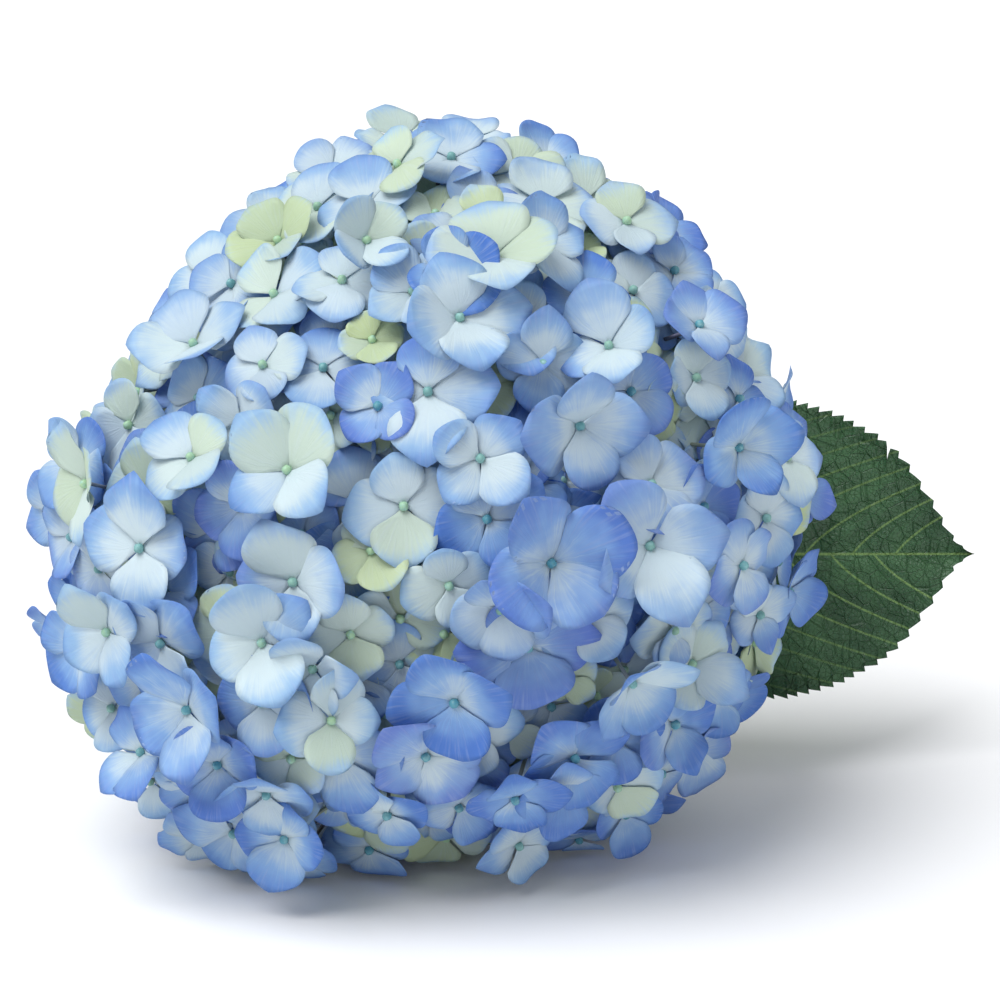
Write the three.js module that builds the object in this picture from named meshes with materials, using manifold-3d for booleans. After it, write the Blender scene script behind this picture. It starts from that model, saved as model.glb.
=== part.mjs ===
// A cut mophead hydrangea, lying on a surface: a domed head of four-sepalled florets, carried on a
// branching stem that ends in a slanting cut, with one toothed leaf.
// Millimetres, +Z up. The origin is on the surface, under the head.
import * as THREE from "three";
import { mergeVertices } from "three/addons/utils/BufferGeometryUtils.js";
import Module from "manifold-3d";

const wasm = await Module();
wasm.setup();

// ---------- driving dimensions ----------

const HEAD_RADIUS = 100; // the head's nominal radius across its face
// The head's outline as shares of HEAD_RADIUS, every 30 degrees anticlockwise from the right.
const OUTLINE = [0.95, 0.91, 0.915, 0.94, 0.84, 0.795, 0.93, 1.01, 1.035, 0.9, 0.93, 0.91];
const FRONT_DEPTH = 78; // the dome's height in front of its widest section
const BACK_DEPTH = 72; // the same behind it, where the head curls back towards the stem
const RIM_ANGLE = 124; // degrees from the dome's pole to the last florets round the back
const SINK = 5; // how far the head's own weight flattens it on the surface
const PRESS_HEIGHT = 7; // florets nearer the surface than this lie flat against it
const FACE_LEAN = 0.6; // how strongly the florets round the head's edge lean towards its face

const FLORET_SPAN = 30; // a full-sized floret, sepal tip to sepal tip
const FLORET_LOBES = 4;
const NOTCH_DEPTH = 0.3; // between two sepals, as a share of the floret's radius
const FLORET_THICKNESS = 1.5; // at the floret's heart; it thins to an edge at the rim
const FLORET_DISH = 2; // how far the sepals rise above the floret's heart
const FLORET_SPACING = 15.5; // the least distance between a filling floret and its neighbours
const DEEP_STEP = 7; // how far a young, green floret sits below the others
const PEDICEL_RADIUS = 0.55;

const CLUSTER_COUNT = 44;
const GROUPING_ROUNDS = 12; // of moving each cluster to the middle of the florets nearest it
const CLUSTER_STALK_RADIUS = 1.2;
const CLUSTER_JOINT = 0.68; // where a cluster's stalk starts, as a share of the way to its florets
const CLUSTER_FORKS = [0.74, 0.86]; // between these shares of the same way the pedicels leave it
const CLEARANCE = 0.3; // between neighbouring pieces

const HUB_DEPTH = 60; // from the head's widest section back to where the stem branches
const STEM_LENGTH = 222; // from there to the cut end
const STEM_RADIUS = 3.5;
const STEM_BOW = 5; // how far the stem wanders sideways
const STEM_CUT_ANGLE = 40; // degrees that the cut face leans from square
const NODE_RADIUS = 4.9; // the swelling that bears the leaf
const NODE_BELOW_HUB = 34;
const RAY_COUNT = 9; // main branches
const RAY_FORKS = [0.2, 0.5]; // between these shares of the way to the florets it divides
const RAY_RADIUS = 2.1;
const BRANCH_RADIUS = 1.3;

const LEAF_LENGTH = 117; // the blade, without its stalk
const LEAF_WIDTH = 80;
const LEAF_THICKNESS = 0.8;
const LEAF_TEETH = 38; // on each side
const TOOTH_DEPTH = 1.5;
const LEAF_FOLD = 9; // how far the margins rise above the midrib
const LEAF_ARCH = 5; // how far the blade bends along its length
const LEAF_START = [30, -13.5, -67]; // the blade's base from the head's centre: right, up, towards the front
const PETIOLE_RADIUS = 1.7;
// Half-widths along the blade, base to tip, as [share of the length, share of half the width].
const LEAF_OUTLINE = [
  [0, 0.06], [0.06, 0.42], [0.16, 0.74], [0.3, 0.93], [0.5, 1], [0.65, 0.92],
  [0.8, 0.69], [0.89, 0.36], [0.95, 0.1], [1, 0.02],
];

// The florets of the head's face, placed by eye: right and up from the middle in hundredths of
// HEAD_RADIUS, span in hundredths of FLORET_SPAN, turn in degrees, and blue from 0, a young
// green floret, to 100, a deep blue one.
const FACE_FLORETS = [
  [6, 89, 100, 0, 60], [-7, 84, 86, 20, 30], [-15, 76, 89, 10, 60], [-27, 74, 96, 0, 55],
  [-41, 73, 93, 15, 50], [30, 77, 107, 15, 35], [49, 70, 86, 0, 35], [40, 68, 50, 45, 0],
  [-37, 66, 79, 30, 25], [1, 64, 79, 30, 15], [-14, 62, 71, 45, 45], [7, 56, 86, 20, 80],
  [-20, 54, 89, 0, 45], [-38, 53, 93, 30, 50], [16, 58, 100, 10, 45], [-3, 52, 79, 40, 50],
  [28, 62, 86, 25, 50], [63, 60, 82, 30, 60], [-55, 57, 89, 0, 55], [-66, 47, 86, 20, 60],
  [55, 47, 71, 0, 10], [8, 44, 93, 0, 55], [23, 43, 86, 20, 65], [65, 43, 82, 20, 80],
  [-13, 41, 57, 20, 5], [39, 51, 86, 10, 60], [-55, 38, 93, 20, 50], [28, 34, 93, 0, 60],
  [-38, 33, 79, 10, 30], [-25, 34, 89, 5, 60], [43, 37, 86, 20, 40], [67, 32, 79, 10, 30],
  [14, 31, 71, 40, 5], [1, 27, 114, 5, 60], [-57, 27, 86, 40, 70], [50, 28, 86, 30, 75],
  [-11, 24, 86, 50, 85], [59, 25, 61, 10, 10], [79, 27, 86, 10, 85], [-77, 21, 93, 20, 35],
  [-44, 20, 79, 50, 40], [36, 19, 100, 0, 60], [-54, 11, 86, 40, 45], [13, 11, 89, 45, 40],
  [89, 12, 79, 0, 35], [74, 14, 82, 30, 55], [-31, 8, 96, 45, 50], [-69, 4, 86, 10, 50],
  [54, 5, 100, 20, 60], [24, 6, 86, 20, 70], [-5, 0, 96, 5, 40], [-45, 0, 86, 15, 80],
  [69, 0, 86, 20, 85], [86, -3, 86, 0, 45], [15, -3, 100, 30, 85], [52, -9, 114, 30, 50],
  [-67, -10, 107, 0, 75], [-13, -11, 79, 30, 10], [29, -13, 114, 30, 80], [75, -14, 89, 30, 60],
  [-83, -16, 79, 0, 60], [-31, -18, 100, 10, 50], [42, -18, 79, 0, 35], [6, -19, 86, 15, 40],
  [-65, -21, 93, 30, 75], [18, -24, 86, 20, 35], [-24, -24, 64, 40, 10], [85, -28, 79, 20, 45],
  [38, -27, 86, 45, 55], [-76, -30, 93, 20, 65], [62, -31, 79, 10, 40], [-18, -31, 79, 20, 35],
  [5, -32, 79, 40, 10], [-38, -32, 89, 30, 35], [-48, -31, 93, 20, 25], [-64, -33, 93, 45, 70],
  [25, -34, 111, 10, 80], [-26, -38, 79, 10, 40], [67, -40, 79, 45, 15], [48, -41, 89, 30, 55],
  [36, -43, 54, 30, 5], [-39, -47, 96, 10, 65], [7, -45, 111, 15, 75], [-56, -48, 107, 25, 80],
  [-22, -50, 86, 0, 40], [45, -50, 71, 20, 15], [61, -54, 93, 10, 70], [-81, -52, 79, 10, 50],
  [10, -56, 93, 10, 40], [76, -50, 82, 0, 60], [47, -58, 89, 0, 80], [0, -60, 96, 30, 70],
  [36, -61, 100, 30, 75], [-21, -62, 104, 5, 80], [-33, -62, 79, 40, 40], [-50, -62, 89, 10, 95],
  [-69, -60, 86, 20, 60], [21, -69, 89, 10, 70], [33, -69, 86, 0, 45], [60, -69, 82, 15, 60],
  [-39, -70, 86, 0, 70], [-57, -71, 100, 45, 75], [49, -77, 79, 0, 75], [-9, -73, 79, 30, 55],
  [-34, -80, 79, 0, 75], [8, -76, 79, 20, 60], [-75, -74, 79, 0, 50], [-58, -84, 82, 20, 65],
  [22, -83, 82, 30, 55], [-15, -88, 93, 30, 70],
];

// ---------- small helpers ----------

const radians = THREE.MathUtils.degToRad;
const { lerp, smoothstep } = THREE.MathUtils;

// The same number from 0 to 1 each time for a given pair of whole numbers.
function chance(index, kind) {
  const wave = Math.sin(index * 12.9898 + kind * 78.233) * 43758.5453;
  return wave - Math.floor(wave);
}

// A three.js geometry as a solid that can be joined and cut.
function solid(geometry) {
  const bare = geometry.clone();
  bare.deleteAttribute("normal");
  bare.deleteAttribute("uv");
  const merged = mergeVertices(bare, 1e-4);
  const corners = [];
  for (let i = 0; i < merged.index.count; i += 3) {
    const [a, b, c] = [0, 1, 2].map((k) => merged.index.getX(i + k));
    if (a !== b && b !== c && c !== a) corners.push(a, b, c);
  }
  return new wasm.Manifold(new wasm.Mesh({
    numProp: 3,
    vertProperties: new Float32Array(merged.attributes.position.array),
    triVerts: new Uint32Array(corners),
  }));
}

function joined(solids) {
  return solids.reduce((all, one) => all.add(one));
}

// The largest body of a solid, without the chips that a cut left loose.
function mainBody(whole) {
  return whole.decompose().reduce((a, b) => (a.volume() > b.volume() ? a : b));
}

// A mesh of a solid, with its own origin at anchor.
function meshOf(name, whole, anchor, color, roughness) {
  const made = whole.getMesh();
  const geometry = new THREE.BufferGeometry();
  geometry.setAttribute("position", new THREE.BufferAttribute(new Float32Array(made.vertProperties), 3));
  geometry.setIndex(new THREE.BufferAttribute(made.triVerts, 1));
  geometry.translate(-anchor.x, -anchor.y, -anchor.z);
  geometry.computeVertexNormals();
  const mesh = new THREE.Mesh(geometry, new THREE.MeshStandardMaterial({ color, roughness, metalness: 0 }));
  mesh.name = name;
  mesh.position.copy(anchor);
  return mesh;
}

// A straight, tapered rod between two points.
function rod(start, end, startRadius, endRadius, sides) {
  const along = end.clone().sub(start);
  const geometry = new THREE.CylinderGeometry(endRadius, startRadius, along.length(), sides);
  const turn = new THREE.Quaternion().setFromUnitVectors(new THREE.Vector3(0, 1, 0), along.clone().normalize());
  geometry.applyQuaternion(turn);
  geometry.translate(...start.clone().addScaledVector(along, 0.5).toArray());
  return solid(geometry);
}

// ---------- the head's shape, in its own frame: +X right, +Y up, +Z out of its face ----------

function outlineRadius(azimuth) {
  const place = ((azimuth / (2 * Math.PI) + 1) % 1) * OUTLINE.length;
  const from = Math.floor(place) % OUTLINE.length;
  const share = (1 - Math.cos(Math.PI * (place - Math.floor(place)))) / 2;
  return HEAD_RADIUS * lerp(OUTLINE[from], OUTLINE[(from + 1) % OUTLINE.length], share);
}

// A point of the shell that the florets' hearts lie on, by its angles from the pole and from the right.
function shellPoint(polar, azimuth) {
  const across = outlineRadius(azimuth) * Math.sin(polar);
  const depth = (polar < Math.PI / 2 ? FRONT_DEPTH : BACK_DEPTH) * Math.cos(polar);
  return new THREE.Vector3(across * Math.cos(azimuth), across * Math.sin(azimuth), depth);
}

function shellNormal(point, azimuth) {
  const radius = outlineRadius(azimuth);
  const depth = point.z > 0 ? FRONT_DEPTH : BACK_DEPTH;
  return new THREE.Vector3(point.x / radius ** 2, point.y / radius ** 2, point.z / depth ** 2).normalize();
}

// Angles of count places spread evenly over the shell, from the pole to the rim.
function lattice(count) {
  const goldenAngle = Math.PI * (3 - Math.sqrt(5));
  const drop = 1 - Math.cos(radians(RIM_ANGLE));
  return Array.from({ length: count }, (_, k) => [
    Math.acos(1 - (drop * (k + 0.5)) / count),
    (k * goldenAngle) % (2 * Math.PI),
  ]);
}

// How far the head's lowest part is below its centre when its axis tips up by tilt.
function lowestReach(tilt) {
  const heights = lattice(2000).map(([polar, azimuth]) => {
    const point = shellPoint(polar, azimuth);
    return point.y * Math.cos(tilt) + point.z * Math.sin(tilt);
  });
  return -Math.min(...heights);
}

// The tilt that rests both the head and the cut end on the surface.
function restingTilt() {
  let tilt = 0;
  for (let round = 0; round < 30; round++) {
    tilt = Math.asin((lowestReach(tilt) - SINK - STEM_RADIUS) / (HUB_DEPTH + STEM_LENGTH));
  }
  return tilt;
}

const TILT = restingTilt();
const HEAD_HEIGHT = lowestReach(TILT) - SINK;
const UP = new THREE.Vector3(0, Math.cos(TILT), Math.sin(TILT)); // the surface's normal, in the head's frame
const HUB = new THREE.Vector3(0, 0, -HUB_DEPTH);
const FOOT = UP.clone().multiplyScalar(-HEAD_HEIGHT); // the point of the surface under the head's centre

function heightOf(point) {
  return HEAD_HEIGHT + point.dot(UP);
}

// ---------- florets ----------

// The way that a floret on the shell faces: outwards, and round the head's edge partly forwards.
function facing(outwards, polar) {
  const atEdge = smoothstep(polar, radians(35), radians(75)) * (1 - smoothstep(polar, radians(95), radians(115)));
  return outwards.clone().add(new THREE.Vector3(0, 0, FACE_LEAN * atEdge)).normalize();
}

// A floret on the shell: its heart, facing, span, turn and blue. Young, green ones sit deeper.
function placeFloret(polar, azimuth, span, turn, blue) {
  const shell = shellPoint(polar, azimuth);
  const outwards = shellNormal(shell, azimuth);
  const normal = facing(outwards, polar);
  const depth = DEEP_STEP * (1 - smoothstep(blue, 0, 0.45));
  const heart = shell.clone().addScaledVector(outwards, -depth);
  const pressed = heightOf(heart) < PRESS_HEIGHT;
  if (pressed) {
    heart.addScaledVector(UP, -heightOf(heart));
    normal.copy(UP).negate();
  }
  return { shell, heart, normal, span, turn, blue, pressed };
}

function faceFloret([right, up, span, turn, blue]) {
  const azimuth = Math.atan2(up, right);
  const away = (Math.hypot(right, up) / 100) * HEAD_RADIUS / outlineRadius(azimuth);
  return placeFloret(Math.asin(Math.min(away, 0.99)), azimuth, (span / 100) * FLORET_SPAN, radians(turn), blue / 100);
}

// The face's florets, one that the head rests on, and as many more as there is room for.
function allFlorets() {
  const florets = FACE_FLORETS.map(faceFloret);
  const rest = placeFloret(Math.PI / 2 + TILT, -Math.PI / 2, FLORET_SPAN, 0, 0.6);
  rest.heart.copy(FOOT);
  florets.push(rest);
  lattice(1400).forEach(([polar, azimuth], k) => {
    const place = shellPoint(polar, azimuth);
    if (florets.some((other) => other.shell.distanceTo(place) < FLORET_SPACING)) return;
    const onFace = polar < radians(62);
    const span = FLORET_SPAN * (onFace ? lerp(0.55, 0.75, chance(k, 1)) : lerp(0.75, 1, chance(k, 1)));
    const blue = onFace ? lerp(0, 0.3, chance(k, 2)) : lerp(0.1, 0.95, chance(k, 2));
    florets.push(placeFloret(polar, azimuth, span, (chance(k, 3) * Math.PI) / 2, blue));
  });
  return florets;
}

// A floret's solid: a shallow dish whose rim runs out into one lobe for each sepal.
function floretSolid(floret) {
  const cornersPerLobe = 3; // two shoulders and a notch
  const dish = floret.pressed ? 0 : FLORET_DISH;
  const profile = [[0, -FLORET_THICKNESS], [floret.span / 2, dish], [0, 0]];
  const segments = FLORET_LOBES * cornersPerLobe;
  const geometry = new THREE.LatheGeometry(profile.map(([r, z]) => new THREE.Vector2(r, z)), segments);
  geometry.rotateX(Math.PI / 2);
  geometry.rotateZ(floret.turn + Math.PI / segments);
  const turn = new THREE.Quaternion().setFromUnitVectors(new THREE.Vector3(0, 0, 1), floret.normal);
  const places = geometry.attributes.position;
  const place = new THREE.Vector3();
  for (let i = 0; i < places.count; i++) {
    place.fromBufferAttribute(places, i);
    const angle = Math.atan2(place.y, place.x) - floret.turn;
    const lobe = 1 - NOTCH_DEPTH * (0.5 - 0.5 * Math.cos(FLORET_LOBES * angle));
    place.multiply(new THREE.Vector3(lobe, lobe, 1)).applyQuaternion(turn).add(floret.heart);
    place.addScaledVector(UP, Math.max(0, -heightOf(place)));
    places.setXYZ(i, ...place.toArray());
  }
  return solid(geometry);
}

// ---------- clusters: the florets that one branch carries ----------

function allClusters() {
  const florets = allFlorets();
  let rays = lattice(CLUSTER_COUNT).map(([polar, azimuth]) => shellPoint(polar, azimuth).sub(HUB));
  let groups;
  for (let round = 0; round < GROUPING_ROUNDS; round++) {
    groups = rays.map(() => []);
    florets.forEach((floret) => groups[nearestRay(rays, floret.heart)].push(floret));
    rays = groups.map((group) => group.reduce((sum, floret) => sum.add(floret.heart).sub(HUB),
      new THREE.Vector3()).divideScalar(group.length));
  }
  return groups.map((group, index) => {
    const alongRay = (share) => HUB.clone().addScaledVector(rays[index], share);
    return { direction: rays[index].clone().normalize(), alongRay, joint: alongRay(CLUSTER_JOINT), florets: group };
  });
}

function nearestRay(rays, point) {
  const angles = rays.map((ray) => ray.angleTo(point.clone().sub(HUB)));
  return angles.indexOf(Math.min(...angles));
}

// The cluster's own share of the head: above the surface, and nearer its ray than any other cluster's.
function keptApart(whole, cluster, clusters) {
  return clusters.filter((other) => other !== cluster).reduce((kept, other) => {
    const normal = cluster.direction.clone().sub(other.direction).normalize();
    return kept.trimByPlane(normal.toArray(), normal.dot(HUB) + CLEARANCE / 2);
  }, whole.trimByPlane(UP.toArray(), -HEAD_HEIGHT));
}

// Where the pedicel ends: inside the floret, on the side of its heart that faces the stalk.
function underFloret(floret, cluster) {
  const toStalk = cluster.alongRay(1).sub(floret.heart).projectOnPlane(floret.normal);
  return floret.heart.clone().add(toStalk.setLength(floret.span / 8));
}

function clusterSolid(cluster, clusters) {
  const [firstFork, lastFork] = CLUSTER_FORKS;
  const stalkEnd = cluster.alongRay(lastFork + 0.01);
  const stalk = rod(cluster.joint, stalkEnd, CLUSTER_STALK_RADIUS, CLUSTER_STALK_RADIUS, 3);
  const pedicels = cluster.florets.map((floret, i) => {
    const start = cluster.alongRay(lerp(lastFork, firstFork, i / cluster.florets.length));
    return rod(start, underFloret(floret, cluster), PEDICEL_RADIUS, PEDICEL_RADIUS, 3);
  });
  const whole = joined([stalk, ...pedicels, ...cluster.florets.map(floretSolid)]);
  return mainBody(keptApart(whole, cluster, clusters));
}

const YOUNG_GREEN = new THREE.Color(0xd3e0b4);
const DEEP_BLUE = new THREE.Color(0x5f82cf);

function clusterMesh(cluster, index, clusters) {
  const name = `floret_cluster_${String(index + 1).padStart(2, "0")}`;
  const blue = cluster.florets.reduce((sum, floret) => sum + floret.blue, 0) / cluster.florets.length;
  const color = YOUNG_GREEN.clone().lerp(DEEP_BLUE, blue);
  return meshOf(name, clusterSolid(cluster, clusters), cluster.joint, color, 0.6);
}

// ---------- stem: the stalk, its leaf-bearing node and the branches, one grown piece ----------

function stemCurve() {
  const bow = [0, 1, 0.4, -0.5, 0];
  return new THREE.CatmullRomCurve3(bow.map((sideways, i) => new THREE.Vector3(
    STEM_BOW * sideways, 0, -HUB_DEPTH - (STEM_LENGTH * i) / (bow.length - 1))));
}

function stalkSolid() {
  const section = new THREE.Shape().absarc(0, 0, STEM_RADIUS, 0, 2 * Math.PI);
  const geometry = new THREE.ExtrudeGeometry(section,
    { steps: 10, curveSegments: 8, bevelEnabled: false, extrudePath: stemCurve() });
  const cut = new THREE.Vector3(0, -Math.sin(radians(STEM_CUT_ANGLE)), Math.cos(radians(STEM_CUT_ANGLE)));
  const cutCentre = new THREE.Vector3(0, 0, -HUB_DEPTH - STEM_LENGTH + STEM_RADIUS);
  return solid(geometry)
    .trimByPlane(cut.toArray(), cut.dot(cutCentre))
    .trimByPlane(UP.toArray(), -HEAD_HEIGHT);
}

function nodeCentre() {
  return stemCurve().getPointAt(NODE_BELOW_HUB / stemCurve().getLength());
}

function nodeSolid() {
  const geometry = new THREE.SphereGeometry(NODE_RADIUS, 8, 6);
  geometry.rotateX(Math.PI / 2);
  geometry.scale(1, 1, 1.3);
  geometry.translate(...nodeCentre().toArray());
  return solid(geometry);
}

// Each main branch goes towards the middle of the clusters that it carries, and forks to reach them.
function branchSolids(clusters) {
  const rays = lattice(RAY_COUNT).map(([polar, azimuth]) => shellPoint(polar, azimuth).sub(HUB));
  const carried = rays.map(() => []);
  clusters.forEach((cluster) => carried[nearestRay(rays, cluster.joint)].push(cluster));
  const [firstFork, lastFork] = RAY_FORKS;
  return rays.flatMap((ray, index) => {
    const alongRay = (share) => HUB.clone().addScaledVector(ray, share);
    const branches = carried[index].map((cluster, i) => {
      const start = alongRay(lerp(lastFork, firstFork, i / carried[index].length));
      const towards = cluster.joint.clone().sub(start).normalize();
      const tip = cluster.joint.clone().addScaledVector(towards, -CLEARANCE - BRANCH_RADIUS / 2);
      return rod(start, tip, BRANCH_RADIUS, BRANCH_RADIUS * 0.8, 3);
    });
    return [rod(HUB, alongRay(lastFork + 0.01), RAY_RADIUS, RAY_RADIUS * 0.8, 5), ...branches];
  });
}

// ---------- leaf ----------

const leafOutline = new THREE.SplineCurve(LEAF_OUTLINE.map(([along, wide]) => new THREE.Vector2(along, wide)));
const leafOutlinePoints = leafOutline.getPoints(200);

function leafHalfWidth(along) {
  const after = Math.max(1, leafOutlinePoints.findIndex((point) => point.x >= along));
  const [a, b] = [leafOutlinePoints[after - 1], leafOutlinePoints[after]];
  return (LEAF_WIDTH / 2) * lerp(a.y, b.y, THREE.MathUtils.clamp((along - a.x) / (b.x - a.x), 0, 1));
}

// A point of the blade from its base: along the midrib, across it from -1 to 1, and through its thickness.
function leafPoint(along, across, through) {
  const tooth = Math.abs(across) === 1 ? TOOTH_DEPTH * (Math.round(along * 2 * LEAF_TEETH) % 2) : 0;
  const side = Math.sign(across) * Math.max(0.4, Math.abs(across) * leafHalfWidth(along) - tooth);
  const rise = LEAF_FOLD * Math.abs(across) ** 1.5 * Math.sin(Math.PI * along);
  const arch = LEAF_ARCH * Math.sin(Math.PI * along);
  return new THREE.Vector3(along * LEAF_LENGTH, across ? side : 0, rise + arch + through * LEAF_THICKNESS);
}

function bladeSolid(base) {
  const geometry = new THREE.BoxGeometry(1, 2, 1, 2 * LEAF_TEETH, 2, 1);
  const places = geometry.attributes.position;
  for (let i = 0; i < places.count; i++) {
    const place = leafPoint(places.getX(i) + 0.5, places.getY(i), places.getZ(i)).add(base);
    places.setXYZ(i, place.x, place.y, place.z);
  }
  return solid(geometry);
}

function petioleSolid(base) {
  const node = nodeCentre();
  const start = new THREE.Vector3(node.x + NODE_RADIUS + CLEARANCE, node.y, node.z);
  const bend = start.clone().add(new THREE.Vector3(2 * PETIOLE_RADIUS, 0, 0));
  const middle = new THREE.Vector3((bend.x + base.x) / 2, (bend.y + base.y) / 2, lerp(bend.z, base.z, 0.35));
  const end = base.clone().add(new THREE.Vector3(PETIOLE_RADIUS, 0, 0));
  const section = new THREE.Shape().absarc(0, 0, PETIOLE_RADIUS, 0, 2 * Math.PI);
  return solid(new THREE.ExtrudeGeometry(section, {
    steps: 8, curveSegments: 6, bevelEnabled: false,
    extrudePath: new THREE.CatmullRomCurve3([start, bend, middle, end]),
  }));
}

// ---------- the whole flower ----------

const hydrangea = new THREE.Group();
const head = new THREE.Group(); // the head's frame, tipped up so that head and cut end both rest
head.rotation.x = Math.PI / 2 - TILT;
head.position.set(0, 0, HEAD_HEIGHT);
hydrangea.add(head);

const clusters = allClusters();
clusters.forEach((cluster, index) => head.add(clusterMesh(cluster, index, clusters)));
head.add(meshOf("stem", joined([stalkSolid(), nodeSolid(), ...branchSolids(clusters)]), HUB, 0x7d9a55, 0.55));
const leafBase = new THREE.Vector3(...LEAF_START);
head.add(meshOf("leaf", joined([bladeSolid(leafBase), petioleSolid(leafBase)]), leafBase, 0x2f5a35, 0.5));

export default hydrangea;
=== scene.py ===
"""A cut mophead hydrangea lying on a pale surface: sepals, buds, stalks, stem and leaf.

Lengths are in millimetres while a piece is worked out, and in metres once it is a mesh.
"""

import math

import bmesh
import bpy
import numpy as np
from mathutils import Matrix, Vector


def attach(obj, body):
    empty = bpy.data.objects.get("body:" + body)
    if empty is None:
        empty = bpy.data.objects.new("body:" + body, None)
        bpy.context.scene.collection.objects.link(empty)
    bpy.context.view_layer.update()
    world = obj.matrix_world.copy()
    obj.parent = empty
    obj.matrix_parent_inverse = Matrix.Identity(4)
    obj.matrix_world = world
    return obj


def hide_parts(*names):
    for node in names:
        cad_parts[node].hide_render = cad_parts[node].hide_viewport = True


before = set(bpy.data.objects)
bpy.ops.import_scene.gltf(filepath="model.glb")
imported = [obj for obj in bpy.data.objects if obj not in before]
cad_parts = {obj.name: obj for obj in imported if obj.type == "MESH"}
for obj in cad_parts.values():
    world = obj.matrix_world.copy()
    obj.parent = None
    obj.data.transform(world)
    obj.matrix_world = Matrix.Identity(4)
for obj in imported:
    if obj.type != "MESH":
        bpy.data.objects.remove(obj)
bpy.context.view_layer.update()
MM = 0.001

# ---------- the head's shape, as the CAD has it ----------

HEAD_RADIUS = 100.0
# The head's outline as shares of HEAD_RADIUS, every 30 degrees anticlockwise from the right.
OUTLINE = (0.95, 0.91, 0.915, 0.94, 0.84, 0.795, 0.93, 1.01, 1.035, 0.9, 0.93, 0.91)
FRONT_DEPTH = 78.0
BACK_DEPTH = 72.0
RIM_ANGLE = 124.0  # degrees from the dome's pole to the last florets round the back
SINK = 5.0
PRESS_HEIGHT = 7.0
FACE_LEAN = 0.6
FLORET_SPAN = 30.0
FLORET_SPACING = 15.5  # the least distance between a filling floret and its neighbours
# The filling florets on the face and at the sides: their span as a share of FLORET_SPAN, and
# how blue they are.
FACE_EDGE_ANGLE = 62.0  # degrees from the dome's pole
FACE_SPANS = (0.55, 0.75)
FACE_BLUES = (0, 0.3)
SIDE_SPANS = (0.75, 1)
SIDE_BLUES = (0.1, 0.95)
DEEP_STEP = 7.0
CLUSTER_COUNT = 44
GROUPING_ROUNDS = 12
CLUSTER_JOINT = 0.68
CLUSTER_FORKS = (0.74, 0.86)
HUB_DEPTH = 60.0
STEM_LENGTH = 222.0
STEM_RADIUS = 3.5
STEM_BOW = 5.0
STEM_CUT_ANGLE = 40.0
NODE_RADIUS = 4.9
NODE_BELOW_HUB = 34.0
RAY_COUNT = 9
RAY_FORKS = (0.2, 0.5)
RAY_RADIUS = 2.1
BRANCH_RADIUS = 1.3
LEAF_TIP = 3.5  # the drawn-out tip, which the CAD leaves out
LEAF_LENGTH = 117.0 + LEAF_TIP
LEAF_WIDTH = 80.0
LEAF_TEETH = 38
LEAF_FOLD = 9.0
LEAF_ARCH = 5.0
LEAF_START = (30.0, -13.5, -67.0)
PETIOLE_RADIUS = 1.7
LEAF_OUTLINE = (
    (0, 0.06), (0.06, 0.42), (0.16, 0.74), (0.3, 0.93), (0.5, 1), (0.65, 0.92),
    (0.8, 0.69), (0.89, 0.36), (0.95, 0.1), (1, 0.02),
)

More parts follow.
